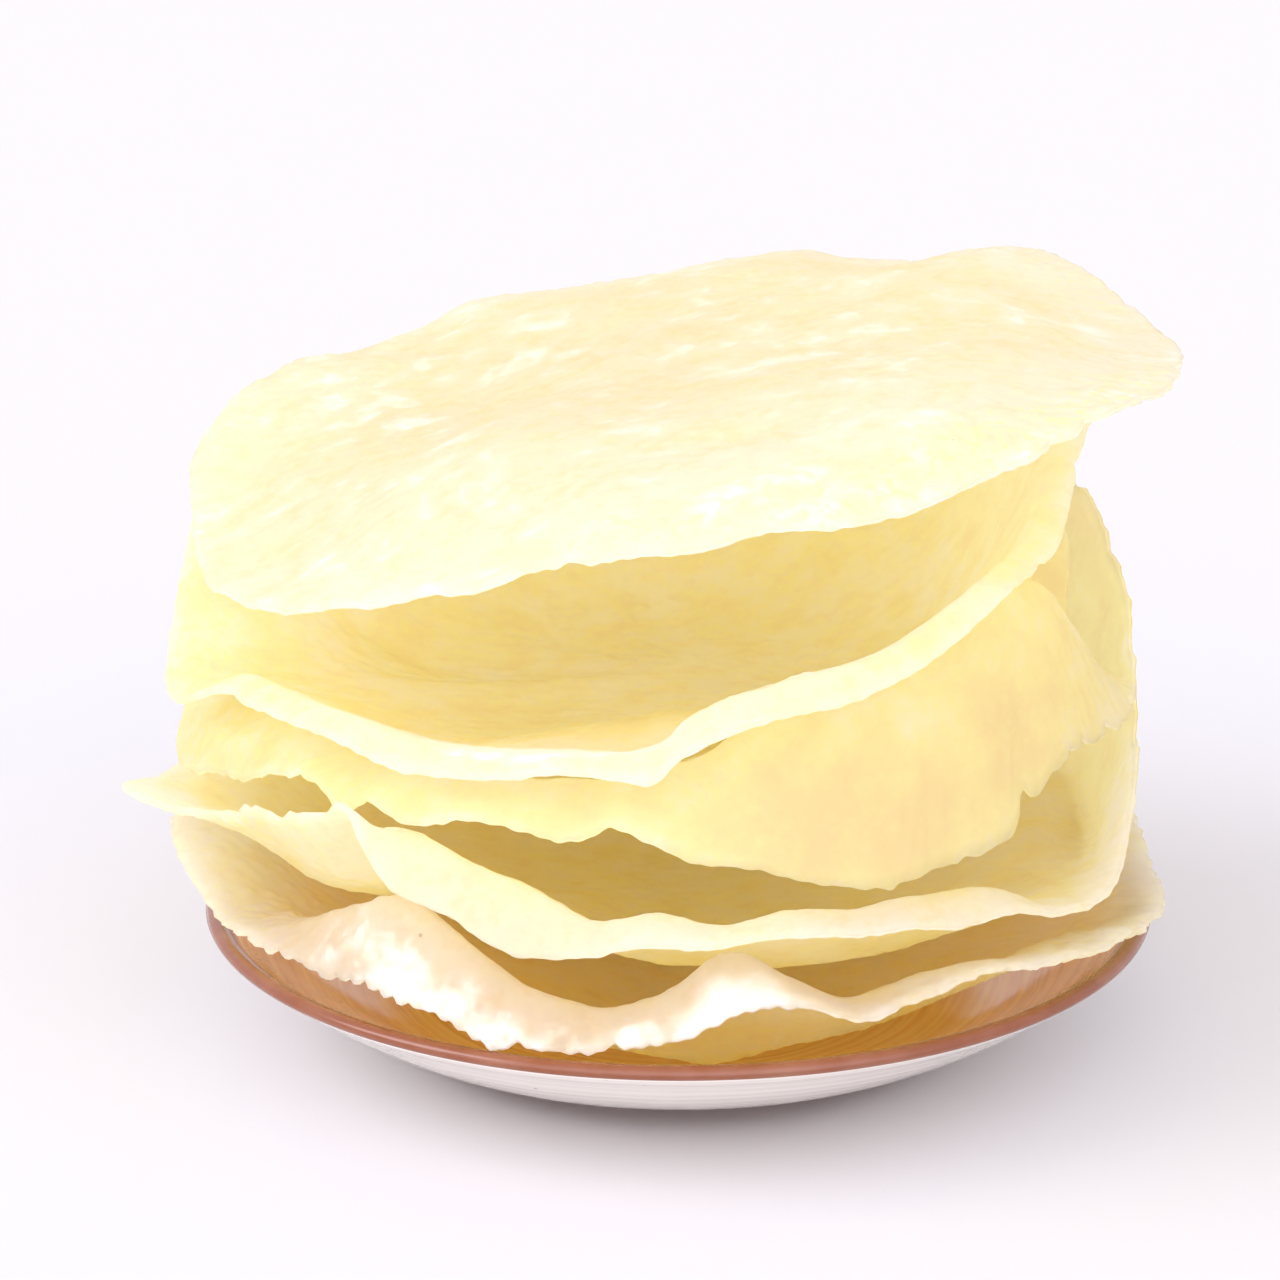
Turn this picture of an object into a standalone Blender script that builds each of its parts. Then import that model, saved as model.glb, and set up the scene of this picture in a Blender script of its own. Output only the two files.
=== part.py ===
"""A stack of five fried papadums on a shallow stoneware plate.

Metres, +Z up. The origin is the centre of the plate's flat foot, on the table. All sizes below are in
millimetres and all directions in degrees, seen from above: 0 is the right-hand side (+X), 90 the back (+Y),
180 the left and 270 the front, the side that a viewer sees.

Each papadum is one thin sheet. Its middle surface runs from its centre, over a floor ring and the crest just
inside the edge, to the edge itself, and the sheet is then given its thickness on both sides of that surface.
"""

import math

import bpy
import bmesh

MM = 0.001

# The plate, a turned profile
RIM_RADIUS = 90.0
RIM_HEIGHT = 27.4
FOOT_RADIUS = 42.0
PLATE_FLOOR = 7.0
PLATE_SECTORS = 72

# The papadums
SHEET_THICKNESS = 1.6
EDGE_SECTORS = 80
FLOOR_AT = 0.62  # share of the way from the centre to the edge where the floor ring lies
CREST_AT = 0.90  # and where the crest lies
COARSE_RINGS = ((0.08, 10), (0.2, 20), (0.38, 40))  # share of the way out, sectors
FULL_RINGS = (0.55, 0.7, 0.81, 0.9, 0.955, 1.0)

# Broad unevenness that every sheet has: wavelength, direction, height
SWELLS = ((62.0, 20.0, 0.35), (47.0, 95.0, 0.3), (38.0, 150.0, 0.25))

# floor: direction, distance from the axis, height
# edge: direction, distance from the axis, height, height of the crest above the edge
PAPADUMS = {
    # Wavy, lies in the plate; its front edge turns down into two lobes
    "papadum_1": {
        "centre_height": 12,
        "centre_slope": (0, 0),
        "lip_width": 8,
        "floor": (
            (0, 60, 21), (45, 61, 23), (90, 62, 24), (135, 62, 24), (180, 63, 25), (205, 62, 27),
            (228, 62, 28), (245, 60, 21), (270, 58, 18), (315, 58, 19),
        ),
        "edge": (
            (0, 91, 30, 0), (11, 91, 34, 0), (20, 91, 40, 0), (38, 92, 43, 0), (55, 91, 46, 0),
            (72, 92, 44, 0), (90, 92, 48, 0), (110, 93, 45, 0), (128, 92, 47, 0), (147, 94, 45, 0),
            (165, 95, 47, 0), (187, 95, 41, -1), (198, 91, 33, 0), (210, 89, 34, 1), (222, 88, 34, 8),
            (232, 88, 34, 13), (243, 88, 32, 9), (252, 87, 29, 4), (262, 87, 29, 4), (268, 87, 31, 5),
            (276, 86, 35, 8), (284, 86, 36, 2), (291, 88, 34, 0), (304, 89, 38, -1), (320, 91, 36, -2),
            (338, 92, 33, -2), (350, 92, 30, -1),
        ),
    },
    # A bowl with a steep right wall, an outward lip in front and a tip at the left
    "papadum_2": {
        "centre_height": 29,
        "centre_slope": (0, 0.05),
        "lip_width": 6,
        "floor": (
            (0, 68, 42), (45, 70, 45), (90, 68, 45), (135, 68, 44), (180, 70, 42), (205, 72, 41),
            (230, 70, 48), (245, 62, 42), (270, 62, 37), (315, 64, 36),
        ),
        "edge": (
            (0, 86, 64, -22), (12, 88, 79, -28), (22, 90, 88, -28), (30, 92, 94, -28), (48, 94, 91, -26),
            (66, 92, 86, -22), (84, 95, 88, -20), (102, 93, 81, -18), (118, 97, 82, -16),
            (135, 94, 75, -14), (150, 94, 68, -10), (163, 91, 60, -5), (174, 92, 53, 0), (182, 98, 52, 0),
            (189, 105, 53, 0), (195, 98, 52, 0), (202, 92, 54, -3), (210, 90, 59, -8), (222, 90, 64, -10),
            (230, 90, 67, -6), (235, 90, 57, 6), (243, 90, 51, 8), (251, 90, 46, 10), (259, 90, 47, 5),
            (267, 90, 49, 4), (275, 90, 50, 0), (284, 90, 52, 1), (291, 90, 50, 2), (298, 90, 49, 3),
            (310, 90, 47, 3), (319, 90, 45, 0), (329, 91, 46, -2), (340, 88, 54, -10), (350, 86, 58, -16),
        ),
    },
    # Humped, so that its front edge hangs down over the bowl's lip
    "papadum_3": {
        "centre_height": 58,
        "centre_slope": (0, 0.05),
        "lip_width": 7,
        "floor": (
            (0, 61, 74), (20, 61, 73), (45, 60, 71), (90, 62, 70), (135, 64, 66), (180, 66, 61),
            (215, 63, 62), (245, 62, 64), (265, 62, 67), (285, 62, 76), (310, 63, 82), (330, 61, 81),
            (345, 61, 77),
        ),
        "edge": (
            (0, 83, 69, 3), (7, 80, 68, 4), (12, 77, 73, 5), (17, 79, 85, 1), (25, 82, 90, 0),
            (36, 84, 88, 0), (48, 84, 86, 0), (62, 87, 91, 2), (78, 85, 87, 0), (95, 90, 94, 2),
            (112, 87, 88, 0), (130, 92, 91, 2), (147, 90, 83, 0), (160, 93, 74, 0), (172, 94, 64, 3),
            (181, 95, 56, 9), (190, 93, 57, 10), (198, 89, 60, 8), (206, 86, 63, 7), (214, 85, 67, 4),
            (221, 85, 69, 2), (226, 85, 65, 6), (230, 86, 68, 3), (236, 87, 65, 6), (245, 88, 69, 3),
            (256, 88, 67, 6), (263, 88, 70, 5), (273, 88, 65, 12), (281, 88, 61, 20), (290, 88, 58, 24),
            (298, 88, 59, 26), (310, 88, 61, 30), (318, 87, 70, 26), (328, 86, 71, 23), (337, 86, 72, 13),
            (345, 86, 72, 5), (353, 85, 71, 3),
        ),
    },
    # A deep bowl, low in front and high at the back and the sides, where it carries the top sheet
    "papadum_4": {
        "centre_height": 69,
        "centre_slope": (0.05, 0.02),
        "lip_width": 5,
        "floor": (
            (0, 54, 88), (45, 56, 91), (90, 60, 86), (135, 62, 79), (180, 64, 72), (225, 62, 71),
            (258, 60, 76), (275, 60, 80), (290, 60, 83), (325, 56, 86),
        ),
        "edge": (
            (0, 76, 129, 0), (15, 75, 130, 0), (30, 79, 131, 0), (45, 80, 127, 0), (60, 84, 128, 0),
            (76, 84, 123, 0), (92, 87, 124, 0), (108, 86, 116, 0), (125, 89, 114, 0), (140, 88, 108, 0),
            (152, 91, 108, 0), (165, 94, 99, 0), (176, 94, 88, 0), (187, 96, 72, 2), (205, 90, 78, 2),
            (223, 90, 80, 2), (238, 90, 77, 2), (250, 90, 78, 2), (262, 90, 80, 2), (267, 90, 80, 3),
            (272, 90, 87, 3), (281, 90, 91, 3), (293, 90, 94, 3), (303, 88, 101, 2), (312, 85, 105, 2),
            (323, 81, 108, 2), (332, 78, 114, 1), (343, 76, 122, 0),
        ),
    },
    # Nearly flat, higher at the right, with a front margin that bends down
    "papadum_5": {
        "centre_height": 128,
        "centre_slope": (0.14, 0.03),
        "lip_width": 9,
        "floor": (
            (0, 57, 137), (45, 58, 138), (90, 57, 131), (135, 57, 121), (180, 55, 114), (225, 57, 120),
            (270, 57, 128), (315, 57, 136),
        ),
        "edge": (
            (0, 92, 132, 0), (20, 92, 134, 0), (40, 94, 139, 0), (58, 92, 132, 0), (74, 93, 132, 1),
            (88, 92, 129, 1), (100, 92, 125, 1), (116, 93, 123, 1), (132, 91, 118, 1), (147, 93, 116, 2),
            (163, 94, 111, 2), (178, 91, 104, 2), (193, 90, 100, 3), (209, 92, 98, 3), (224, 93, 103, 3),
            (244, 93, 110, 3), (257, 92, 117, 4), (268, 93, 120, 4), (280, 93, 124, 4), (292, 93, 124, 5),
            (304, 93, 129, 4), (318, 94, 135, 1), (330, 93, 135, 0), (345, 92, 133, 0),
        ),
    },
}

# Colour, roughness
GLAZE = ((0.72, 0.42, 0.16), 0.22)
PAPADUM = ((0.93, 0.82, 0.50), 0.55)


def clear_scene():
    for thing in list(bpy.data.objects):
        bpy.data.objects.remove(thing, do_unlink=True)


def make_material(name, look):
    colour, roughness = look
    material = bpy.data.materials.new(name)
    material.use_nodes = True
    shader = material.node_tree.nodes["Principled BSDF"]
    shader.inputs["Base Color"].default_value = (*colour, 1)
    shader.inputs["Roughness"].default_value = roughness
    shader.inputs["Metallic"].default_value = 0
    return material


def blend(start, end, start_slope, end_slope, length, share):
    """A value on the cubic that joins two values with the slopes given at them."""
    square, cube = share**2, share**3
    return (
        (2 * cube - 3 * square + 1) * start
        + (cube - 2 * square + share) * length * start_slope
        + (3 * square - 2 * cube) * end
        + (cube - square) * length * end_slope
    )


def around(ring, direction):
    """The values of a closed ring at a direction, on a smooth curve through the ring's own points."""
    count = len(ring)
    last = max((k for k in range(count) if ring[k][0] <= direction), default=-1)

    def point(k):
        turns, index = divmod(k, count)
        return ring[index][0] + 360 * turns, ring[index][1:]

    (before, low), (start, here), (end, there), (after, high) = (point(last + k) for k in (-1, 0, 1, 2))
    share = (direction - start) / (end - start)
    return [
        blend(b, c, (c - a) / (end - before), (d - b) / (after - start), end - start, share)
        for a, b, c, d in zip(low, here, there, high)
    ]


def slopes_between(places, values, first):
    """A slope at each place of an outline, weighted so that uneven steps don't make it overshoot."""
    steps = [b - a for a, b in zip(places, places[1:])]
    rises = [(b - a) / step for a, b, step in zip(values, values[1:], steps)]
    inner = [
        (rises[k] * steps[k + 1] + rises[k + 1] * steps[k]) / (steps[k] + steps[k + 1])
        for k in range(len(steps) - 1)
    ]
    return [first, *inner, 1.5 * rises[-1] - 0.5 * inner[-1]]


def swell(x, y, seed):
    """The broad unevenness of a sheet at a point, shifted for each sheet by its seed."""
    total = 0
    for number, (length, direction, height) in enumerate(SWELLS):
        turn = math.radians(direction + 37 * seed)
        along = x * math.cos(turn) + y * math.sin(turn)
        total += height * math.sin(2 * math.pi * along / length + 1.7 * seed + number)
    return total


def sheet_point(sheet, seed, out, direction):
    """The point of a sheet's middle surface at a share of the way out and a direction, in millimetres."""
    floor_reach, floor_height = around(sheet["floor"], direction)
    reach, height, lip = around(sheet["edge"], direction)
    turn = math.radians(direction)
    places = (0, FLOOR_AT, CREST_AT, 1)
    reaches = (0, floor_reach, reach - sheet["lip_width"], reach)
    heights = (sheet["centre_height"], floor_height, height + lip, height)
    slope_x, slope_y = sheet["centre_slope"]
    reach_slopes = slopes_between(places, reaches, floor_reach / FLOOR_AT)
    rise = (slope_x * math.cos(turn) + slope_y * math.sin(turn)) * reach_slopes[0]
    height_slopes = slopes_between(places, heights, rise)

    part = 0 if out < FLOOR_AT else 1 if out < CREST_AT else 2
    length = places[part + 1] - places[part]
    share = (out - places[part]) / length
    radius, level = (
        blend(values[part], values[part + 1], slopes[part], slopes[part + 1], length, share)
        for values, slopes in ((reaches, reach_slopes), (heights, height_slopes))
    )
    x, y = radius * math.cos(turn), radius * math.sin(turn)
    return x, y, level + swell(x, y, seed)


def add_sheet(name, sheet, seed, material):
    """One papadum: rings of triangles from the centre to the edge, with the sectors doubled on the way."""
    mesh = bmesh.new()
    rings = [*COARSE_RINGS, *((out, EDGE_SECTORS) for out in FULL_RINGS)]
    verts = []
    for out, sectors in rings:
        places = (sheet_point(sheet, seed, out, 360 * k / sectors) for k in range(sectors))
        verts.append([mesh.verts.new([MM * value for value in place]) for place in places])
    centre = mesh.verts.new([MM * value for value in sheet_point(sheet, seed, 0, 0)])
    first = verts[0]
    for k in range(len(first)):
        mesh.faces.new((centre, first[k], first[(k + 1) % len(first)]))
    for inner, outer in zip(verts, verts[1:]):
        doubled = len(outer) // len(inner) == 2
        for k in range(len(inner)):
            a, b = inner[k], inner[(k + 1) % len(inner)]
            if doubled:
                c, d, e = (outer[(2 * k + step) % len(outer)] for step in range(3))
                mesh.faces.new((a, c, d))
                mesh.faces.new((a, d, b))
                mesh.faces.new((b, d, e))
            else:
                c, d = outer[k], outer[(k + 1) % len(outer)]
                mesh.faces.new((a, c, d))
                mesh.faces.new((a, d, b))
    data = bpy.data.meshes.new(name)
    mesh.to_mesh(data)
    mesh.free()
    data.materials.append(material)
    data.shade_smooth()

    body = bpy.data.objects.new(name, data)
    bpy.context.scene.collection.objects.link(body)
    wall = body.modifiers.new("thickness", "SOLIDIFY")
    wall.thickness = SHEET_THICKNESS * MM
    wall.offset = 0
    wall.use_even_offset = True
    wall.use_rim = True
    return body


def plate_profile():
    """The plate's outline from the top of its floor, over the rim, down to its flat foot: radius, height."""
    inside = ((0, PLATE_FLOOR), (40, 7.5), (55, 9.5), (70, 14.5), (80, 21), (85.5, 26))
    rim = ((87.5, RIM_HEIGHT), (89.3, RIM_HEIGHT - 0.1), (RIM_RADIUS, RIM_HEIGHT - 1.1), (88.5, 24.6))
    outside = ((84, 21.5), (75, 15.3), (65, 9.5), (55, 5.4), (FOOT_RADIUS + 2.6, 2.4), (FOOT_RADIUS + 1.6, 1))
    foot = ((FOOT_RADIUS, 0), (0, 0))
    return (*inside, *rim, *outside, *foot)


def add_plate(material):
    """The plate: its profile turned about the axis. At +X the profile runs down the outer side."""
    mesh = bmesh.new()
    verts = [mesh.verts.new((radius * MM, 0, height * MM)) for radius, height in plate_profile()]
    for a, b in zip(verts, verts[1:]):
        mesh.edges.new((a, b))
    data = bpy.data.meshes.new("plate")
    mesh.to_mesh(data)
    mesh.free()
    data.materials.append(material)
    body = bpy.data.objects.new("plate", data)
    bpy.context.scene.collection.objects.link(body)
    turning = body.modifiers.new("turning", "SCREW")
    turning.steps = PLATE_SECTORS
    turning.render_steps = PLATE_SECTORS
    turning.use_merge_vertices = True
    turning.merge_threshold = 0.0001
    turning.use_smooth_shade = True
    return body


def main():
    clear_scene()
    add_plate(make_material("glazed_stoneware", GLAZE))
    dough = make_material("fried_papadum", PAPADUM)
    for seed, (name, sheet) in enumerate(PAPADUMS.items(), start=1):
        add_sheet(name, sheet, seed, dough)


main()
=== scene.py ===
import math

import bpy
import numpy as np
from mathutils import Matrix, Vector


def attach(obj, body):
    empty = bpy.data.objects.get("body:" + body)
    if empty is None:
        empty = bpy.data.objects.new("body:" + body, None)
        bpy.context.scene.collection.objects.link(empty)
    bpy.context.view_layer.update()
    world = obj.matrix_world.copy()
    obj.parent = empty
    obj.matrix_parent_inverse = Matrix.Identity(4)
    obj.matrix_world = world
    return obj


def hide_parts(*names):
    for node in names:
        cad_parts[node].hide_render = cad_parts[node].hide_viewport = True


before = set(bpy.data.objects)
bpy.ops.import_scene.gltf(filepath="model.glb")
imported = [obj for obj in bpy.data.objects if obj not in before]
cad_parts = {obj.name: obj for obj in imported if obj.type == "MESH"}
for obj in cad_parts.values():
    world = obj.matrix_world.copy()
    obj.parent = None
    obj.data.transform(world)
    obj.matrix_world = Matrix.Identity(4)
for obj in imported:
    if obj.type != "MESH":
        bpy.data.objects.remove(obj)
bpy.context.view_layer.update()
mm = 0.001

# Sizes are in millimetres and directions in degrees, seen from above: 0 right, 90 back, 180 left, 270 front.
# floor: direction, distance from the axis, height
# edge: direction, distance from the axis, height, height of the crest above the edge
# crease: how sharply the sheet bends at the crest, 0 to 1
# forms: direction, share of the way out, half width in degrees, half depth as a share, height
# nicks: direction, half width in degrees, depth of the cut into the edge
# shadeAndLightTones: colour of the inside, colour of the lip, share of the way out where the lip begins;
#     -2 is white, -1 ivory, 0 cream, 1 gold and 2 tan; a golden inside is painted shade of a hollow, a paler
#     lip or ivory top is painted light
# tintsLightAndShade: as forms, with what is added to the tone in place of the height; the whiter spots are
# mostly painted light on lit faces and the tan ones painted shade on shaded faces, along with some of the
# dough's own tint
# bubbly: as forms, with how bubbly the sheet is there, up to 1
# frill: how far the edge wanders in and out; flutter: up and down; teeth: its finest jags
papadums = {
    "papadum_1": {
        "seed": 1,
        "centreHeight": 12,
        "centreSlope": (0, 0),
        "lipWidth": 8,
        "floor": (
            (0, 60, 21), (45, 61, 23), (90, 62, 24), (135, 62, 24), (180, 63, 25), (205, 62, 27),
            (228, 62, 28), (245, 60, 21), (270, 58, 18), (315, 58, 19),
        ),
        "edge": (
            (0, 91, 30, 0), (11, 91, 34, 0), (20, 91, 40, 0), (38, 92, 43, 0), (55, 91, 46, 0),
            (72, 92, 44, 0), (90, 92, 48, 0), (110, 93, 45, 0), (128, 92, 47, 0), (147, 94, 45, 0),
            (165, 95, 47, 0), (187, 95, 41, -1), (198, 91, 33, 0), (210, 89, 34, 1), (222, 88, 34, 8),
            (232, 88, 34, 13), (243, 88, 32, 9), (252, 87, 29, 4), (262, 87, 29, 4), (268, 87, 31, 5),
            (276, 86, 35, 8), (284, 86, 36, 2), (291, 88, 34, 0), (304, 89, 38, -1), (320, 91, 36, -2),
            (338, 92, 33, -2), (350, 92, 30, -1),
        ),
        "crease": 0.4,
        "forms": (
            (252, 0.88, 5, 0.07, 1.6), (300, 0.8, 9, 0.1, 1.2), (328, 0.84, 7, 0.08, 1.4),
            (345, 0.78, 8, 0.08, -1.2), (214, 0.8, 7, 0.08, 1.4), (200, 0.72, 8, 0.08, -1.4),
        ),
        "nicks": (
            (251, 1.2, 1.6), (262, 1.0, 1.2), (296, 1.2, 1.4), (310, 0.9, 1.0), (214, 1.0, 1.0),
        ),
        "bubbly": (
            (328, 0.88, 20, 0.12, 1.0), (205, 0.88, 14, 0.14, 0.8), (90, 0.9, 60, 0.1, 0.6),
        ),
        "shadeAndLightTones": (0.4, -0.2, 0.86),
        "tintsLightAndShade": (
            (232, 0.92, 22, 0.12, -1.2), (277, 0.95, 12, 0.1, -1.2), (336, 0.9, 7, 0.05, 0.5),
            (258, 0.99, 40, 0.05, -1.2),
        ),
        "frill": 0.5,
        "flutter": 0.45,
        "teeth": 0.3,
    },
    "papadum_2": {
        "seed": 2,
        "centreHeight": 29,
        "centreSlope": (0, 0.05),
        "lipWidth": 6,
        "floor": (
            (0, 68, 42), (45, 70, 45), (90, 68, 45), (135, 68, 44), (180, 70, 42), (205, 72, 41),
            (230, 70, 48), (245, 62, 42), (270, 62, 37), (315, 64, 36),
        ),
        "edge": (
            (0, 86, 64, -22), (12, 88, 79, -28), (22, 90, 88, -28), (30, 92, 94, -28), (48, 94, 91, -26),
            (66, 92, 86, -22), (84, 95, 88, -20), (102, 93, 81, -18), (118, 97, 82, -16),
            (135, 94, 75, -14), (150, 94, 68, -10), (163, 91, 60, -5), (174, 92, 53, 0), (182, 98, 52, 0),
            (189, 105, 53, 0), (195, 98, 52, 0), (202, 92, 54, -3), (210, 90, 59, -8), (222, 90, 64, -10),
            (230, 90, 67, -6), (235, 90, 57, 6), (243, 90, 51, 8), (251, 90, 46, 10), (259, 90, 47, 5),
            (267, 90, 49, 4), (275, 90, 50, 0), (284, 90, 52, 1), (291, 90, 50, 2), (298, 90, 49, 3),
            (310, 90, 47, 3), (319, 90, 45, 0), (329, 91, 46, -2), (340, 88, 54, -10), (350, 86, 58, -16),
        ),
        "crease": 0.5,
        "forms": (
            (212, 0.84, 6, 0.09, 1.2), (222, 0.9, 5, 0.07, -1.0), (196, 0.86, 6, 0.1, -1.2),
            (262, 0.84, 9, 0.09, -0.9), (300, 0.78, 9, 0.09, 1.0),
        ),
        "nicks": (
            (207, 1.6, 1.6), (217, 1.4, 1.3), (226, 1.5, 1.6), (199, 1.3, 1.4), (8, 1.6, 1.5),
            (20, 1.2, 1.2), (355, 1.4, 1.3),
        ),
        "bubbly": (
            (208, 0.95, 18, 0.08, 1.0), (12, 0.92, 26, 0.09, 0.8), (90, 0.92, 50, 0.08, 0.5),
        ),
        "shadeAndLightTones": (0.4, -0.2, 0.86),
        "tintsLightAndShade": (
            (262, 0.96, 34, 0.07, -0.5), (310, 0.96, 26, 0.06, -0.4), (212, 0.9, 16, 0.08, -0.3),
            (24, 0.97, 34, 0.10, 1.5),
        ),
        "frill": 0.5,
        "flutter": 0.4,
        "teeth": 0.1,
    },
    "papadum_3": {
        "seed": 3,
        "centreHeight": 58,
        "centreSlope": (0, 0.05),
        "lipWidth": 7,
        "floor": (
            (0, 61, 74), (20, 61, 73), (45, 60, 71), (90, 62, 70), (135, 64, 66), (180, 66, 61),
            (215, 63, 62), (245, 62, 64), (265, 62, 67), (285, 62, 76), (310, 63, 82), (330, 61, 81),
            (345, 61, 77),
        ),
        "edge": (
            (0, 83, 69, 3), (7, 80, 68, 4), (12, 77, 73, 5), (17, 79, 85, 1), (25, 82, 90, 0),
            (36, 84, 88, 0), (48, 84, 86, 0), (62, 87, 91, 2), (78, 85, 87, 0), (95, 90, 94, 2),
            (112, 87, 88, 0), (130, 92, 91, 2), (147, 90, 83, 0), (160, 93, 74, 0), (172, 94, 64, 3),
            (181, 95, 56, 9), (190, 93, 57, 10), (198, 89, 60, 8), (206, 86, 63, 7), (214, 85, 67, 4),
            (221, 85, 69, 2), (226, 85, 65, 6), (230, 86, 68, 3), (236, 87, 65, 6), (245, 88, 69, 3),
            (256, 88, 67, 6), (263, 88, 70, 5), (273, 88, 65, 12), (281, 88, 61, 20), (290, 88, 58, 24),
            (298, 88, 59, 26), (310, 88, 61, 30), (318, 87, 70, 26), (328, 86, 71, 23), (337, 86, 72, 13),
            (345, 86, 72, 5), (353, 85, 71, 3),
        ),
        "crease": 0.0,
        "forms": (
            (208, 0.84, 5, 0.06, 1.4), (238, 0.82, 9, 0.08, 1.0), (222, 0.9, 4, 0.06, -1.0),
            (184, 0.93, 3, 0.03, 1.5), (188, 0.89, 3, 0.03, -1.5), (192, 0.94, 3, 0.02, 1.3),
            (195, 0.91, 3, 0.02, -1.4), (199, 0.95, 3, 0.03, 1.4), (203, 0.91, 3, 0.03, -1.3),
        ),
        "nicks": (
            (313, 1.3, 4.2), (333, 1.6, 2.2), (326, 1.0, 1.4), (322, 0.9, 1.0), (345, 1.2, 1.6),
            (228, 1.6, 1.8), (217, 1.2, 1.2), (262, 1.6, 1.0),
        ),
        "bubbly": (
            (192, 0.9, 16, 0.12, 1.0), (320, 0.95, 24, 0.06, 0.5), (100, 0.9, 60, 0.1, 0.5),
        ),
        "shadeAndLightTones": (0.7, 0.3, 0.975),
        "tintsLightAndShade": (
            (190, 0.9, 18, 0.14, -0.5), (338, 0.92, 14, 0.07, -0.5), (240, 0.9, 24, 0.06, -0.4),
            (298, 0.96, 42, 0.05, 1.0), (20, 0.95, 20, 0.1, 0.8),
        ),
        "frill": 0.5,
        "flutter": 0.4,
        "teeth": 0.14,
    },
    "papadum_4": {
        "seed": 4,
        "centreHeight": 69,
        "centreSlope": (0.05, 0.02),
        "lipWidth": 5,
        "floor": (
            (0, 54, 88), (45, 56, 91), (90, 60, 86), (135, 62, 79), (180, 64, 72), (225, 62, 71),
            (258, 60, 76), (275, 60, 80), (290, 60, 83), (325, 56, 86),
        ),
        "edge": (
            (0, 76, 129, 0), (15, 75, 130, 0), (30, 79, 131, 0), (45, 80, 127, 0), (60, 84, 128, 0),
            (76, 84, 123, 0), (92, 87, 124, 0), (108, 86, 116, 0), (125, 89, 114, 0), (140, 88, 108, 0),
            (152, 91, 108, 0), (165, 94, 99, 0), (176, 94, 88, 0), (187, 96, 72, 2), (205, 90, 78, 2),
            (223, 90, 80, 2), (238, 90, 77, 2), (250, 90, 78, 2), (262, 90, 80, 2), (267, 90, 80, 3),
            (272, 90, 87, 3), (281, 90, 91, 3), (293, 90, 94, 3), (303, 88, 101, 2), (312, 85, 105, 2),
            (323, 81, 108, 2), (332, 78, 114, 1), (343, 76, 122, 0),
        ),
        "crease": 0.85,
        "forms": (
            (278, 0.5, 30, 0.16, 2.2), (263, 0.66, 7, 0.2, -1.6), (163, 0.62, 5, 0.16, -1.6),
            (156, 0.66, 5, 0.14, 1.2), (284, 0.78, 12, 0.1, 1.6), (232, 0.8, 14, 0.12, 1.0),
        ),
        "nicks": (
            (269, 1.4, 1.4), (206, 1.3, 1.0), (196, 1.2, 1.2), (320, 1.2, 1.2), (338, 1.0, 1.0),
        ),
        "bubbly": (
            (184, 0.9, 20, 0.1, 0.8), (250, 0.88, 24, 0.1, 0.45), (90, 0.9, 60, 0.1, 0.5),
        ),
        "shadeAndLightTones": (0.6, -0.1, 0.93),
        "tintsLightAndShade": (
            (252, 0.84, 22, 0.14, -3.4), (285, 0.78, 20, 0.14, -1.6), (15, 0.82, 50, 0.16, 0.9),
            (0, 0.1, 360, 0.12, -0.3),
        ),
        "frill": 0.45,
        "flutter": 0.35,
        "teeth": 0.09,
    },
    "papadum_5": {
        "seed": 5,
        "centreHeight": 128,
        "centreSlope": (0.14, 0.03),
        "lipWidth": 9,
        "floor": (
            (0, 57, 137), (45, 58, 138), (90, 57, 131), (135, 57, 121), (180, 55, 114), (225, 57, 120),
            (270, 57, 128), (315, 57, 136),
        ),
        "edge": (
            (0, 92, 132, 0), (20, 92, 134, 0), (40, 94, 139, 0), (58, 92, 132, 0), (74, 93, 132, 1),
            (88, 92, 129, 1), (100, 92, 125, 1), (116, 93, 123, 1), (132, 91, 118, 1), (147, 93, 116, 2),
            (163, 94, 111, 2), (178, 91, 104, 2), (193, 90, 100, 3), (209, 92, 98, 3), (224, 93, 103, 3),
            (244, 93, 110, 3), (257, 92, 117, 4), (268, 93, 120, 4), (280, 93, 124, 4), (292, 93, 124, 5),
            (304, 93, 129, 4), (318, 94, 135, 1), (330, 93, 135, 0), (345, 92, 133, 0),
        ),
        "crease": 0.1,
        "forms": (
            (258, 0.46, 26, 0.05, 0.7), (282, 0.6, 18, 0.05, -0.8), (294, 0.76, 10, 0.06, 0.7),
            (100, 0.4, 14, 0.08, -0.8), (76, 0.66, 10, 0.08, 0.8), (262, 0.93, 5, 0.05, 1.1),
            (250, 0.96, 5, 0.04, -0.9), (172, 0.9, 9, 0.08, -0.9), (40, 0.86, 9, 0.09, 0.9),
            (338, 0.86, 8, 0.08, 0.7),
        ),
        "nicks": (
            (318, 1.6, 2.0), (312, 0.9, 1.0), (258, 1.1, 1.0), (243, 1.3, 1.2), (330, 1.0, 1.1),
            (350, 1.2, 1.3), (20, 1.3, 1.0), (150, 1.2, 1.0),
        ),
        "bubbly": (
            (300, 0.93, 24, 0.09, 1.0), (330, 0.94, 20, 0.08, 0.9), (262, 0.95, 12, 0.05, 0.7),
            (30, 0.92, 24, 0.07, 0.6), (150, 0.95, 50, 0.06, 0.5),
        ),
        "shadeAndLightTones": (-1.0, -1.0, 0.9),
        "tintsLightAndShade": (
            (171, 0.91, 9, 0.07, 0.4), (188, 0.92, 8, 0.06, 0.3),
        ),
        "frill": 0.5,
        "flutter": 0.4,
        "teeth": 0.1,
    },
}

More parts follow.
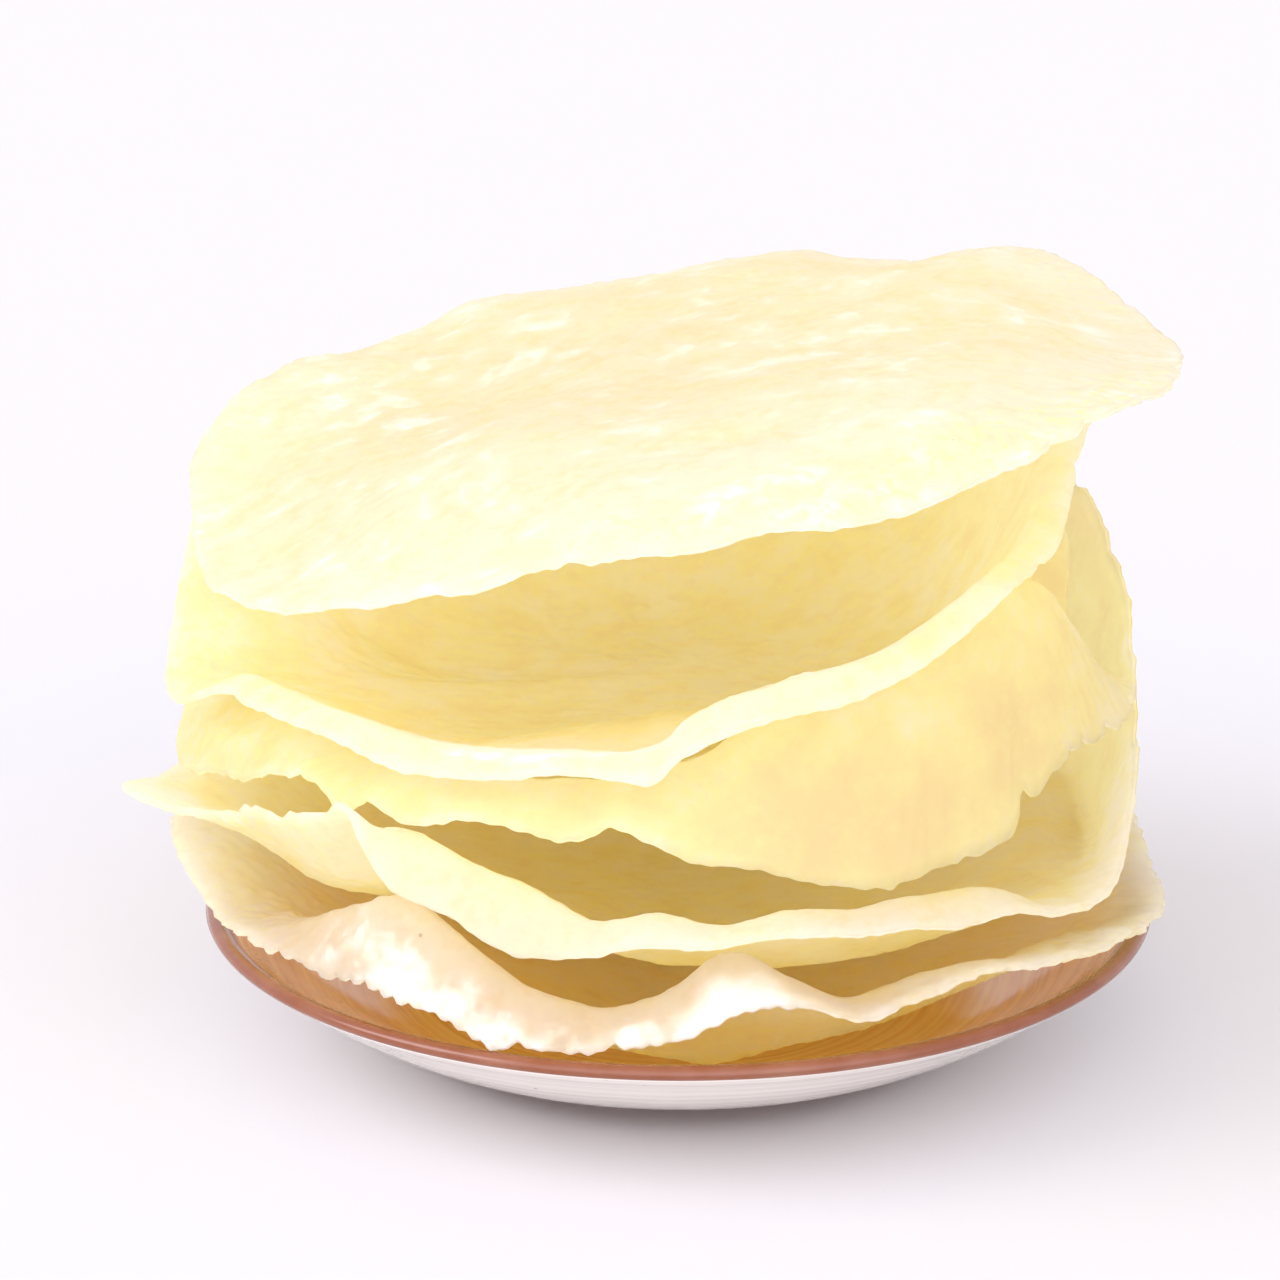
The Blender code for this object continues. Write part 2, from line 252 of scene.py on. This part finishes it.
# What all papadums share
dough = {
    "steps": 200,           # grid steps across a sheet
    "thickness": 1.35,
    "rimThickness": 0.6,    # share of the thickness left at the very edge
    "floorAt": 0.62,        # share of the way out where the floor ring lies
    "crestAt": 0.90,
    "shortestLip": 6,       # a shorter lip wanders as one of this length
    # Waves round an edge: seed step, fewest and most in a turn, how many, and the power of the share of the
    # way out that keeps them near the edge
    "frillWaves": (0, 4, 18, 8, 16),
    "teethWaves": (20, 70, 190, 30, 50),
    "flutterWaves": (50, 6, 34, 10, 10),
    "jagWaves": (70, 50, 160, 24, 40),
    "nickPower": 30,
    "swells": ((62.0, 20.0, 0.35), (47.0, 95.0, 0.3), (38.0, 150.0, 0.25)),  # length, direction, height
    "rippleHeight": 0.9,
    "rippleSize": 16.0,
    "blisterHeight": 0.42,
    "blisterSize": 3.2,
    "bubbleGrowth": 1.8,    # how much taller blisters are where a sheet is bubbly
    "grainHeight": 0.26,
    "grainSize": 1.6,
    "white": (0.998, 0.985, 0.96),
    "ivory": (0.985, 0.95, 0.86),
    "cream": (0.999, 0.98, 0.86),
    "gold": (0.999, 0.965, 0.68),
    "tan": (0.97, 0.885, 0.65),
    "speck": (0.45, 0.33, 0.20),
    "translucence": 0.75,
    "whiteTranslucence": 0.35,
    # Noise cells in a metre, for the relief and for the colours
    "blisterPatchScale": 60.0,
    "patchScale": 55.0,
    "mottleScale": 150.0,
    "grainScale": 420.0,
    "specksScale": 110.0,
}


def add(tree, kind, sockets=None, **settings):
    node = tree.nodes.new(kind)
    for name, value in settings.items():
        setattr(node, name, value)
    for key, value in (sockets or {}).items():
        if isinstance(value, bpy.types.NodeSocket):
            tree.links.new(value, node.inputs[key])
        else:
            node.inputs[key].default_value = value
    return node


def doMath(tree, operation, *values):
    return add(tree, "ShaderNodeMath", dict(enumerate(values)), operation=operation).outputs[0]


def noise(tree, place, scale, detail):
    return add(tree, "ShaderNodeTexNoise", {"Vector": place, "Scale": scale, "Detail": detail}).outputs[0]


def ramp(tree, value, low, high, first=0.0, last=1.0, kind="LINEAR"):
    span = {"Value": value, 1: low, 2: high, 3: first, 4: last}
    return add(tree, "ShaderNodeMapRange", span, interpolation_type=kind).outputs[0]


def blend(start, end, startSlope, endSlope, length, share):  # a cubic between two values
    square, cube = share**2, share**3
    return (
        (2 * cube - 3 * square + 1) * start
        + (cube - 2 * square + share) * length * startSlope
        + (3 * square - 2 * cube) * end
        + (cube - square) * length * endSlope
    )


def around(ring, turn):  # the values of a closed ring at each direction
    ring = np.array(ring, float)
    last = np.searchsorted(ring[:, 0], turn, side="right") - 1

    def point(step):
        turns, index = np.divmod(last + step, len(ring))
        return ring[index, 0] + 360 * turns, ring[index, 1:].T

    (before, a), (start, b), (end, c), (after, d) = (point(step) for step in (-1, 0, 1, 2))
    share = (turn - start) / (end - start)
    return blend(b, c, (c - a) / (end - before), (d - b) / (after - start), end - start, share)


def slopesBetween(places, values, first):  # a smooth slope at each place
    steps = [b - a for a, b in zip(places, places[1:])]
    rises = [(b - a) / step for a, b, step in zip(values, values[1:], steps)]
    inner = [
        (rises[k] * steps[k + 1] + rises[k + 1] * steps[k]) / (steps[k] + steps[k + 1])
        for k in range(len(steps) - 1)
    ]
    return [first, *inner, 1.5 * rises[-1] - 0.5 * inner[-1]]


def wavesAround(out, turn, seed, kind):  # closed wavy lines round the edge, about 1 high
    step, fewest, most, count, power = dough[kind]
    draw = np.random.default_rng(seed + step)
    total = 0
    for cycles, phase in zip(draw.integers(fewest, most, count), draw.uniform(0, 2 * math.pi, count)):
        total = total + np.sin(np.radians(turn) * cycles + phase)
    return total / math.sqrt(count) * out**power


def angleFrom(turn, direction):
    return (turn - direction + 180) % 360 - 180


def spots(places, out, turn):  # soft round patches on a sheet, added up
    total = 0 * out
    for direction, at, wide, deep, strength in places:
        across, along = angleFrom(turn, direction) / wide, (out - at) / deep
        total = total + strength * np.exp(-(across**2) - along**2)
    return total


def sheetPoints(sheet, out, turn):  # middle surface, in millimetres
    floorReach, floorHeight = around(sheet["floor"], turn)
    reach, height, lip = around(sheet["edge"], turn)
    seed = sheet["seed"]
    angle = np.radians(turn)

    # The edge wanders in and out along the sheet itself
    wander = sheet["frill"] * wavesAround(out, turn, seed, "frillWaves")
    wander = wander + sheet["teeth"] * wavesAround(out, turn, seed, "teethWaves")
    for direction, width, depth in sheet["nicks"]:
        nick = np.exp(-((angleFrom(turn, direction) / width) ** 2))
        wander = wander - depth * nick * out ** dough["nickPower"]
    lipLength = np.maximum(np.hypot(sheet["lipWidth"], lip), dough["shortestLip"])
    out = out + wander * (1 - dough["crestAt"]) / lipLength
    places = (0, dough["floorAt"], dough["crestAt"], 1)
    part = np.digitize(out, places[1:3])

    def along(values, first):
        slopes = slopesBetween(places, values, first)
        starts, ends = slopes[:3], slopes[1:]
        for side, k in ((ends, 1), (starts, 2)):  # both sides of the crest
            rise = (values[k + 1] - values[k]) / (places[k + 1] - places[k])
            side[k] = side[k] + sheet["crease"] * (rise - side[k])
        spans = [
            blend(values[k], values[k + 1], starts[k], ends[k], places[k + 1] - places[k],
                  (out - places[k]) / (places[k + 1] - places[k]))
            for k in range(3)
        ]
        return np.choose(part, spans)

    slopeX, slopeY = sheet["centreSlope"]
    steep = floorReach / dough["floorAt"]
    radius = along((0, floorReach, reach - sheet["lipWidth"], reach), steep)
    z = along((sheet["centreHeight"], floorHeight, height + lip, height),
              (slopeX * np.cos(angle) + slopeY * np.sin(angle)) * steep)
    x, y = radius * np.cos(angle), radius * np.sin(angle)
    for number, (length, direction, tall) in enumerate(dough["swells"]):  # turned differently on each sheet
        heading = math.radians(direction + 37 * seed)
        way = x * math.cos(heading) + y * math.sin(heading)
        z = z + tall * np.sin(2 * math.pi * way / length + 1.7 * seed + number)
    z = z + sheet["flutter"] * wavesAround(out, turn, seed, "flutterWaves")
    z = z + 0.5 * sheet["teeth"] * wavesAround(out, turn, seed, "jagWaves")
    z = z + spots(sheet["forms"], out, turn)
    return np.stack([x, y, z], -1)


def discGrid(steps):  # a square grid bent into a disc, so there is no pole
    side = np.linspace(-1, 1, steps + 1)
    u, v = np.meshgrid(side, side, indexing="ij")
    u, v = u.ravel(), v.ravel()
    wide = np.abs(u) >= np.abs(v)
    main, other = np.where(wide, u, v), np.where(wide, v, u)
    lean = 45 * other / np.where(main == 0, 1, main)
    turn = np.where(wide, lean, 90 - lean) + np.where(main < 0, 180, 0)
    corner = np.arange(steps)[:, None] * (steps + 1) + np.arange(steps)[None, :]
    corner = corner.ravel()
    faces = np.stack([corner, corner + steps + 1, corner + steps + 2, corner + 1], -1)
    return np.abs(main), turn % 360, faces


def newObject(name, points, faces, material):
    mesh = bpy.data.meshes.new(name)
    mesh.from_pydata([tuple(p) for p in points], [], [tuple(f) for f in faces])
    mesh.materials.append(material)
    mesh.shade_smooth()
    body = bpy.data.objects.new(name, mesh)
    bpy.context.scene.collection.objects.link(body)
    return body


def setInputs(modifier, values):
    for item in modifier.node_group.interface.items_tree:
        if item.in_out == "INPUT" and item.name in values:
            modifier[item.identifier] = values[item.name]


def settle(body):  # the modifiers' result becomes the plain mesh
    graph = bpy.context.evaluated_depsgraph_get()
    mesh = bpy.data.meshes.new_from_object(body.evaluated_get(graph))
    body.modifiers.clear()
    body.data = mesh


def newTree(name, inputs):
    tree = bpy.data.node_groups.new(name, "GeometryNodeTree")
    tree.interface.new_socket(name="Geometry", in_out="OUTPUT", socket_type="NodeSocketGeometry")
    tree.interface.new_socket(name="Geometry", in_out="INPUT", socket_type="NodeSocketGeometry")
    for label, kind in inputs.items():
        tree.interface.new_socket(name=label, in_out="INPUT", socket_type="NodeSocket" + kind)
    return tree, tree.nodes.new("NodeGroupInput").outputs


def endTree(tree, geometry, material):
    real = add(tree, "GeometryNodeRealizeInstances", {"Geometry": geometry})
    dressed = add(tree, "GeometryNodeSetMaterial", {"Geometry": real.outputs[0], "Material": material})
    add(tree, "NodeGroupOutput", {0: dressed.outputs[0]})


def reliefTree():  # pushes a surface in and out along its normals
    tree, given = newTree("relief", {
        "Ripple Size": "Float", "Ripple Height": "Float", "Blister Size": "Float", "Blister Height": "Float",
        "Bubble Growth": "Float", "Grain Size": "Float", "Grain Height": "Float", "Seed": "Float",
        "Material": "Material",
    })
    place = add(tree, "GeometryNodeInputPosition").outputs[0]
    shift = add(tree, "ShaderNodeCombineXYZ", {"X": given["Seed"], "Y": given["Seed"]}).outputs[0]
    place = add(tree, "ShaderNodeVectorMath", {0: place, 1: shift}, operation="ADD").outputs[0]

    def waves(size, height, detail):
        level = noise(tree, place, doMath(tree, "DIVIDE", 1.0, given[size]), detail)
        return doMath(tree, "MULTIPLY", doMath(tree, "SUBTRACT", level, 0.5), given[height])

    # A blister is a dome in each cell, lower in some patches and taller where the sheet is bubbly
    scale = doMath(tree, "DIVIDE", 1.0, given["Blister Size"])
    cells = add(tree, "ShaderNodeTexVoronoi", {"Vector": place, "Scale": scale, "Smoothness": 0.6},
                feature="SMOOTH_F1")
    dome = ramp(tree, cells.outputs[0], 0.05, 0.65, 1.0, 0.0, "SMOOTHSTEP")
    bubbly = add(tree, "GeometryNodeInputNamedAttribute", {"Name": "bubbly"}, data_type="FLOAT").outputs[0]
    growth = doMath(tree, "MULTIPLY_ADD", bubbly, given["Bubble Growth"], 1.0)
    patch = ramp(tree, noise(tree, place, dough["blisterPatchScale"], 2.0), 0.35, 0.65, 0.15, 1.0)
    blister = doMath(tree, "MULTIPLY", dome, patch)
    blister = doMath(tree, "MULTIPLY", doMath(tree, "MULTIPLY", blister, growth), given["Blister Height"])
    push = doMath(tree, "ADD", waves("Ripple Size", "Ripple Height", 2.0), blister)
    push = doMath(tree, "ADD", push, waves("Grain Size", "Grain Height", 3.0))
    normal = add(tree, "GeometryNodeInputNormal").outputs[0]
    offset = add(tree, "ShaderNodeVectorMath", {0: normal, "Scale": push}, operation="SCALE").outputs[0]
    moved = add(tree, "GeometryNodeSetPosition", {"Geometry": given["Geometry"], "Offset": offset})
    endTree(tree, moved.outputs[0], given["Material"])
    return tree


def newMaterial(name):
    material = bpy.data.materials.new(name)
    material.use_nodes = True
    return material, material.node_tree, material.node_tree.nodes["Principled BSDF"]


def mix(tree, share, first, second):
    node = add(tree, "ShaderNodeMix", data_type="RGBA")
    for socket, value in ((node.inputs[0], share), (node.inputs[6], first), (node.inputs[7], second)):
        if isinstance(value, bpy.types.NodeSocket):
            tree.links.new(value, socket)
        else:
            socket.default_value = (*value, 1) if isinstance(value, tuple) else value
    return node.outputs[2]


def papadumMaterial():
    material, tree, shader = newMaterial("friedPapadum")
    place = add(tree, "ShaderNodeTexCoord").outputs["Object"]
    toneAndShade = add(tree, "ShaderNodeAttribute", attribute_name="toneAndShade").outputs["Fac"]
    bubbly = add(tree, "ShaderNodeAttribute", attribute_name="bubbly").outputs["Fac"]
    patches = noise(tree, place, dough["patchScale"], 4.0)
    mottle = noise(tree, place, dough["mottleScale"], 3.0)
    fine = noise(tree, place, dough["grainScale"], 4.0)
    for texture, low, high in ((patches, -0.35, 0.35), (mottle, -0.35, 0.35), (fine, 0.3, -0.3)):
        toneAndShade = doMath(tree, "ADD", toneAndShade, ramp(tree, texture, 0.35, 0.65, low, high))
    # The tone carries painted shade and light: gold on shaded hollows, tan on shaded faces, ivory and white
    # on lit lips and faces; the noises add the dough's own uneven tone
    colour = mix(tree, ramp(tree, toneAndShade, 0.0, -1.0), dough["cream"], dough["ivory"])
    colour = mix(tree, ramp(tree, toneAndShade, -1.3, -2.3), colour, dough["white"])
    colour = mix(tree, ramp(tree, toneAndShade, 0.0, 1.0), colour, dough["gold"])
    colour = mix(tree, ramp(tree, toneAndShade, 1.0, 2.0), colour, dough["tan"])
    cloud = doMath(tree, "ADD", mottle, fine)
    colour = mix(tree, ramp(tree, cloud, 0.98, 1.22, 0.0, 0.45), colour, dough["tan"])

    dots = add(tree, "ShaderNodeTexVoronoi", {"Vector": place, "Scale": dough["specksScale"]}).outputs
    chosen = add(tree, "ShaderNodeSeparateColor", {0: dots[1]}).outputs[0]
    specks = doMath(tree, "ADD", dots[0], ramp(tree, chosen, 0.93, 0.92))  # small only in a chosen few cells
    colour = mix(tree, ramp(tree, specks, 0.05, 0.03, 0.0, 0.5), colour, dough["speck"])
    colour = mix(tree, doMath(tree, "MULTIPLY", bubbly, ramp(tree, fine, 0.52, 0.36)), colour, dough["gold"])
    tree.links.new(colour, shader.inputs["Base Color"])
    tree.links.new(ramp(tree, fine, 0.3, 0.7, 0.38, 0.6), shader.inputs["Roughness"])
    shader.inputs["Specular IOR Level"].default_value = 0.35
    behind = add(tree, "ShaderNodeBsdfTranslucent", {"Color": colour})
    through = ramp(tree, toneAndShade, -1.2, -2.2, dough["translucence"], dough["whiteTranslucence"])
    both = add(tree, "ShaderNodeMixShader", {0: through, 1: shader.outputs[0], 2: behind.outputs[0]})
    tree.links.new(both.outputs[0], tree.nodes["Material Output"].inputs["Surface"])
    return material


def setPointValues(mesh, name, values):
    mesh.attributes.new(name, "FLOAT", "POINT").data.foreach_set("value", np.asarray(values, np.float32))


relief = reliefTree()
friedPapadum = papadumMaterial()
gridOut, gridTurn, gridFaces = discGrid(dough["steps"])


def makePapadum(name, sheet):
    points = sheetPoints(sheet, gridOut, gridTurn) * mm
    body = newObject(name.replace("_", "Sheet"), points, gridFaces, friedPapadum)
    # Painted shade and light: a golden inside for the shaded hollow, a paler lip and top where the light
    # falls, with whiter spots on lit faces and tan spots on shaded faces
    inside, lip, lipFrom = sheet["shadeAndLightTones"]
    lipShare = np.clip((gridOut - lipFrom) / (1 - lipFrom), 0, 1)
    lipShare = lipShare**2 * (3 - 2 * lipShare)
    toneAndShade = inside + (lip - inside) * lipShare + spots(sheet["tintsLightAndShade"], gridOut, gridTurn)
    setPointValues(body.data, "toneAndShade", toneAndShade)
    setPointValues(body.data, "bubbly", np.clip(spots(sheet["bubbly"], gridOut, gridTurn), 0, 1))
    group = body.vertex_groups.new(name="thick")
    group.add(range(len(points)), 1.0, "REPLACE")
    rim = [int(k) for k in np.nonzero(gridOut > 0.999)[0]]
    group.add(rim, dough["rimThickness"], "REPLACE")

    # Ripples bend the thin sheet, and after it has its wall the blisters and grain roughen both faces
    sizes = {
        "Ripple Size": dough["rippleSize"] * mm, "Blister Size": dough["blisterSize"] * mm,
        "Grain Size": dough["grainSize"] * mm, "Bubble Growth": dough["bubbleGrowth"],
        "Seed": float(sheet["seed"]), "Material": friedPapadum,
    }
    waves = body.modifiers.new("waves", "NODES")
    waves.node_group = relief
    setInputs(waves, {
        **sizes, "Ripple Height": dough["rippleHeight"] * mm, "Blister Height": 0.0, "Grain Height": 0.0,
    })
    wall = body.modifiers.new("wall", "SOLIDIFY")
    wall.thickness = dough["thickness"] * mm
    wall.offset = 0
    wall.vertex_group = group.name
    blisters = body.modifiers.new("blisters", "NODES")
    blisters.node_group = relief
    setInputs(blisters, {
        **sizes, "Ripple Height": 0.0, "Blister Height": dough["blisterHeight"] * mm,
        "Grain Height": dough["grainHeight"] * mm,
    })
    settle(body)
    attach(body, "root")
    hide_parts(name)
    print(name, len(body.data.polygons), "faces")


for name, sheet in papadums.items():
    makePapadum(name, sheet)

# The plate: a turned profile, from the middle of its well over the rim to the foot (radius, height)
plate = {
    "profile": (
        (0, 7), (20, 7.05), (40, 7.5), (55, 9.5), (70, 14.5), (80, 21), (85.5, 26), (87.2, 27.35),
        (88.6, 27.45), (89.7, 26.8), (90, 26.2), (89.6, 25.5), (88.5, 24.6), (84, 21.5), (75, 15.3),
        (65, 9.5), (55, 5.4), (46.5, 3.0), (44.2, 1.8), (43.2, 0.6), (42, 0), (40, 0), (0, 0),
    ),
    "profileStep": 0.9,
    "sectors": 256,
    "wobble": ((2, 0.4, 0.0006), (5, 0.0, 0.0004)),  # waves in a turn, phase, share of the radius
    "bandInner": 86.2,   # radius where the red-brown band begins
    "honey": (0.74, 0.37, 0.09),
    "honeyPale": (0.92, 0.59, 0.22),
    "band": (0.25, 0.07, 0.025),
    "bandPale": (0.36, 0.15, 0.09),
    # painted shade: a dark line along the band's inner edge, where the rim hides the well
    "paintedShadeLine": (0.20, 0.035, 0.012),
    "outside": (0.90, 0.84, 0.77),
    "clayAndShade": (0.28, 0.14, 0.09),  # bare clay round the foot, made dark as painted shade to brown the contact shadow
    "clayAndShadeBelow": 5.0,
    "speck": (0.16, 0.09, 0.06),
    "specksScale": 160.0,
    "streakScale": (600.0, 6.0),  # noise cells in a metre, along the radius and across the plate
    "bandWander": 1.6,
}


def smoothLine(points, step):  # points on a smooth curve through the given ones
    line = np.array(points, float)
    dist = np.concatenate([[0], np.cumsum(np.hypot(*np.diff(line, axis=0).T))])
    where = np.linspace(0, dist[-1], int(dist[-1] / step) + 1)
    slopes = np.gradient(line, dist, axis=0)
    k = np.clip(np.searchsorted(dist, where, side="right") - 1, 0, len(line) - 2)
    length = dist[k + 1] - dist[k]
    share = (where - dist[k]) / length
    return np.stack([
        blend(line[k, c], line[k + 1, c], slopes[k, c], slopes[k + 1, c], length, share) for c in (0, 1)
    ], -1)


def plateMaterial():
    material, tree, shader = newMaterial("glazedStoneware")
    place = add(tree, "ShaderNodeTexCoord").outputs["Object"]
    split = add(tree, "ShaderNodeSeparateXYZ", {0: place}).outputs
    flat = add(tree, "ShaderNodeCombineXYZ", {"X": split[0], "Y": split[1]}).outputs[0]
    radius = add(tree, "ShaderNodeVectorMath", {0: flat}, operation="LENGTH").outputs["Value"]
    inside = add(tree, "ShaderNodeAttribute", attribute_name="inside").outputs["Fac"]
    wander = noise(tree, place, 90.0, 3.0)
    shift = doMath(tree, "MULTIPLY", doMath(tree, "SUBTRACT", wander, 0.5), plate["bandWander"] * mm)
    edge = doMath(tree, "ADD", radius, shift)
    outward, sideways = plate["streakScale"]
    rings = add(tree, "ShaderNodeCombineXYZ", {
        "X": doMath(tree, "MULTIPLY", edge, outward), "Y": doMath(tree, "MULTIPLY", split[0], sideways),
        "Z": doMath(tree, "MULTIPLY", split[1], sideways),
    }).outputs[0]
    streaks = noise(tree, rings, 1.0, 2.0)
    dots = add(tree, "ShaderNodeTexVoronoi", {"Vector": place, "Scale": plate["specksScale"]}).outputs
    chosen = add(tree, "ShaderNodeSeparateColor", {0: dots[1]}).outputs[0]
    speck = doMath(tree, "MULTIPLY", ramp(tree, dots[0], 0.10, 0.04), ramp(tree, chosen, 0.80, 0.82))

    bandFrom = plate["bandInner"] * mm
    glaze = mix(tree, ramp(tree, streaks, 0.32, 0.8), plate["honey"], plate["honeyPale"])
    # a painted shade line just inside the band's inner edge
    glaze = mix(tree, ramp(tree, edge, bandFrom - 1.2 * mm, bandFrom - 0.1 * mm), glaze, plate["paintedShadeLine"])
    band = mix(tree, ramp(tree, wander, 0.4, 0.7, 0.0, 0.5), plate["band"], plate["bandPale"])
    glaze = mix(tree, ramp(tree, edge, bandFrom, bandFrom + 0.7 * mm), glaze, band)
    # bare clay below the given height, darkened as painted shade for the contact shadow under the plate
    bareAndShaded = ramp(tree, split[2], plate["clayAndShadeBelow"] * mm, (plate["clayAndShadeBelow"] - 1.5) * mm)
    under = mix(tree, bareAndShaded, plate["outside"], plate["clayAndShade"])
    colour = mix(tree, ramp(tree, inside, 0.45, 0.55), under, glaze)
    colour = mix(tree, doMath(tree, "MULTIPLY", speck, 0.6), colour, plate["speck"])
    bump = add(tree, "ShaderNodeBump", {"Height": streaks, "Strength": 0.15, "Distance": 0.8 * mm})
    tree.links.new(colour, shader.inputs["Base Color"])
    tree.links.new(bump.outputs[0], shader.inputs["Normal"])
    tree.links.new(ramp(tree, wander, 0.3, 0.7, 0.07, 0.18), shader.inputs["Roughness"])
    shader.inputs["Coat Weight"].default_value = 0.4
    shader.inputs["Coat Roughness"].default_value = 0.08
    return material


def makePlate():
    line = smoothLine(plate["profile"], plate["profileStep"])
    ring = line[1:-1]  # without the two middle points
    count, sectors = len(ring), plate["sectors"]
    turn = np.arange(sectors) * 2 * math.pi / sectors
    wobble = 1 + sum(share * np.sin(waves * turn + phase) for waves, phase, share in plate["wobble"])
    x = ring[:, 0, None] * np.cos(turn) * wobble
    y = ring[:, 0, None] * np.sin(turn) * wobble
    z = np.broadcast_to(ring[:, 1, None], x.shape)
    points = [(0, 0, plate["profile"][0][1]), *np.stack([x, y, z], -1).reshape(-1, 3), (0, 0, 0)]
    faces = []
    for k in range(sectors):
        after = (k + 1) % sectors
        faces.append((0, 1 + k, 1 + after))
        for row in range(count - 1):
            a, b = 1 + row * sectors, 1 + (row + 1) * sectors
            faces.append((a + k, b + k, b + after, a + after))
        last = 1 + (count - 1) * sectors
        faces.append((last + k, len(points) - 1, last + after))
    body = newObject("glazedPlate", np.array(points) * mm, faces, plateMaterial())
    outer = int(np.argmax(ring[:, 0]))
    inside = np.repeat(np.arange(count) <= outer + 1, sectors)
    setPointValues(body.data, "inside", [1, *inside, 0])
    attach(body, "root")
    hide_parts("plate")
    print("plate", len(body.data.polygons), "faces")


makePlate()

# The setting: a pale floor, soft studio light and the camera
studio = {
    "floorColour": (0.72, 0.71, 0.725),
    "floorReach": 5.0,
    "worldColour": (0.96, 0.94, 1.0),
    "domeStrength": 0.92,
    # Two soft lights in the dome, one from the front and one from the left: the way to it, its strength,
    # and the cosines off that way where it begins and where it is full
    "fill": ((0.0, -1.0, 0.3), 1.3, 0.3, 0.95),
    "key": ((-1.15, -0.35, 0.9), 3.6, 0.9, 0.99),
    "bounces": 16,
    "aim": (-0.0073, 0.0, 0.077),
    "distance": 0.8,
    "down": 17.0,
    "lens": 119.75,
}


def setStudio():
    scene = bpy.context.scene
    reach = studio["floorReach"]
    corners = [(-reach, -reach, 0), (reach, -reach, 0), (reach, reach, 0), (-reach, reach, 0)]
    material, _, shader = newMaterial("paleFloor")
    floor = newObject("paleFloor", corners, [(0, 1, 2, 3)], material)
    shader.inputs["Base Color"].default_value = (*studio["floorColour"], 1)
    shader.inputs["Roughness"].default_value = 0.8
    shader.inputs["Specular IOR Level"].default_value = 0.2

    world = bpy.data.worlds.new("studio")
    world.use_nodes = True
    tree = world.node_tree
    way = add(tree, "ShaderNodeTexCoord").outputs["Generated"]
    light = studio["domeStrength"]
    for toward, strength, start, full in (studio["fill"], studio["key"]):
        sides = {0: way, 1: Vector(toward).normalized()}
        facing = add(tree, "ShaderNodeVectorMath", sides, operation="DOT_PRODUCT").outputs["Value"]
        light = doMath(tree, "ADD", ramp(tree, facing, start, full, 0.0, strength, "SMOOTHSTEP"), light)
    backdrop = tree.nodes["Background"]
    backdrop.inputs["Color"].default_value = (*studio["worldColour"], 1)
    tree.links.new(light, backdrop.inputs["Strength"])
    world.cycles.sampling_method = "NONE"
    scene.world = world

    data = bpy.data.cameras.new("camera")
    data.lens = studio["lens"]
    data.clip_start = 0.01
    data.clip_end = 50
    camera = bpy.data.objects.new("camera", data)
    scene.collection.objects.link(camera)
    down = math.radians(studio["down"])
    away = Vector((0, -math.cos(down), math.sin(down))) * studio["distance"]
    camera.location = Vector(studio["aim"]) + away
    camera.rotation_euler = (-away).to_track_quat("-Z", "Y").to_euler()
    scene.camera = camera
    scene.view_settings.view_transform = "Standard"
    scene.view_settings.look = "None"
    for kind in ("max_bounces", "diffuse_bounces", "transmission_bounces"):
        setattr(scene.cycles, kind, studio["bounces"])
    print("studio set")


setStudio()
